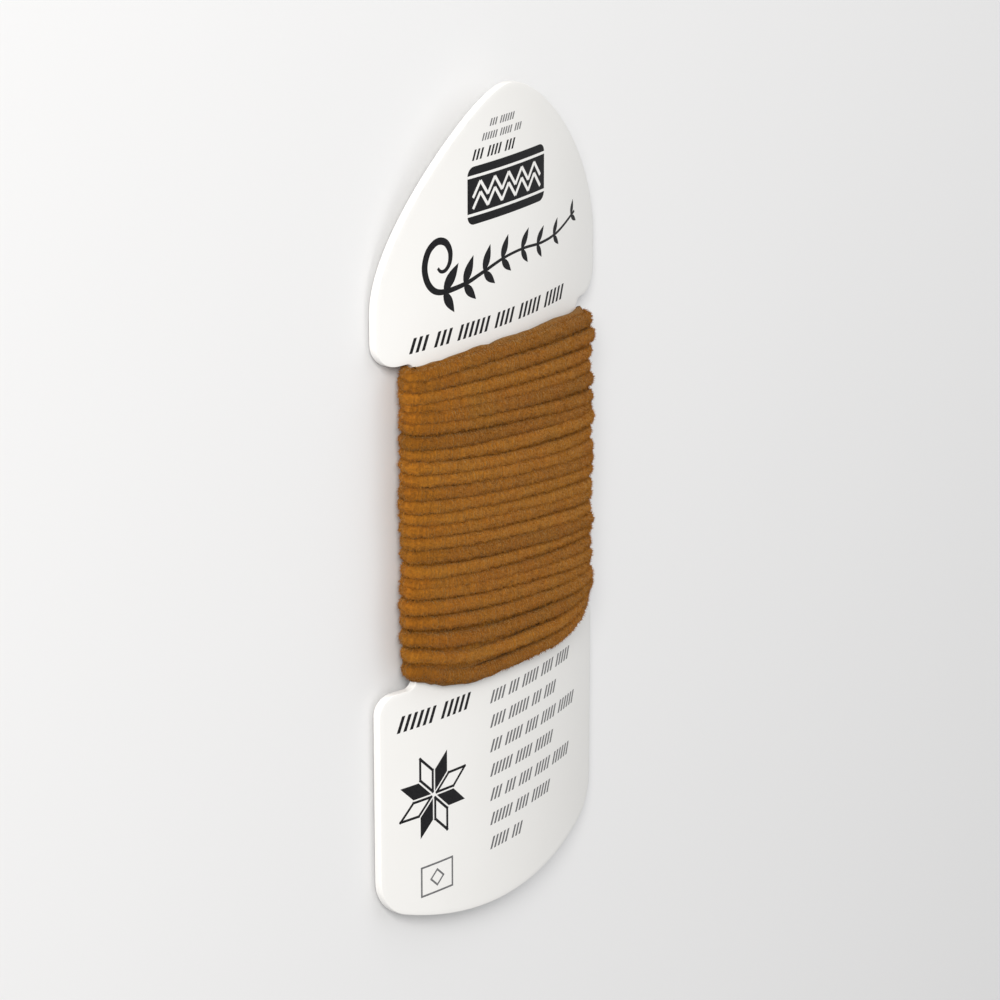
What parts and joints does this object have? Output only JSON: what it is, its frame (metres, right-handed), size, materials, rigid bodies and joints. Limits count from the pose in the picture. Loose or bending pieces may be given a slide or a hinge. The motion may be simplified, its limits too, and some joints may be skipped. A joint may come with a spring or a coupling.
{
  "type": "card of needlepoint thread",
  "caption": "White die-cut board card with a pointed arch head and a rounded base, bowed across its width and wound at its waist with a bulky golden-brown velvety needlepoint thread.",
  "frame": {"origin": "centre of the bounding box in X and Y, at the flat underside that the winding rests on", "axes": "+X across the card, +Y along the card from its base to the tip of its head, +Z out of the card's printed front"},
  "size_m": [0.055, 0.131, 0.0091],
  "materials": {
    "board": null,
    "thread": "golden-brown velvety pile thread, matte with a soft sheen"
  },
  "bodies": {
    "root": {"card": "board", "winding": "thread"}
  },
  "joints": []
}
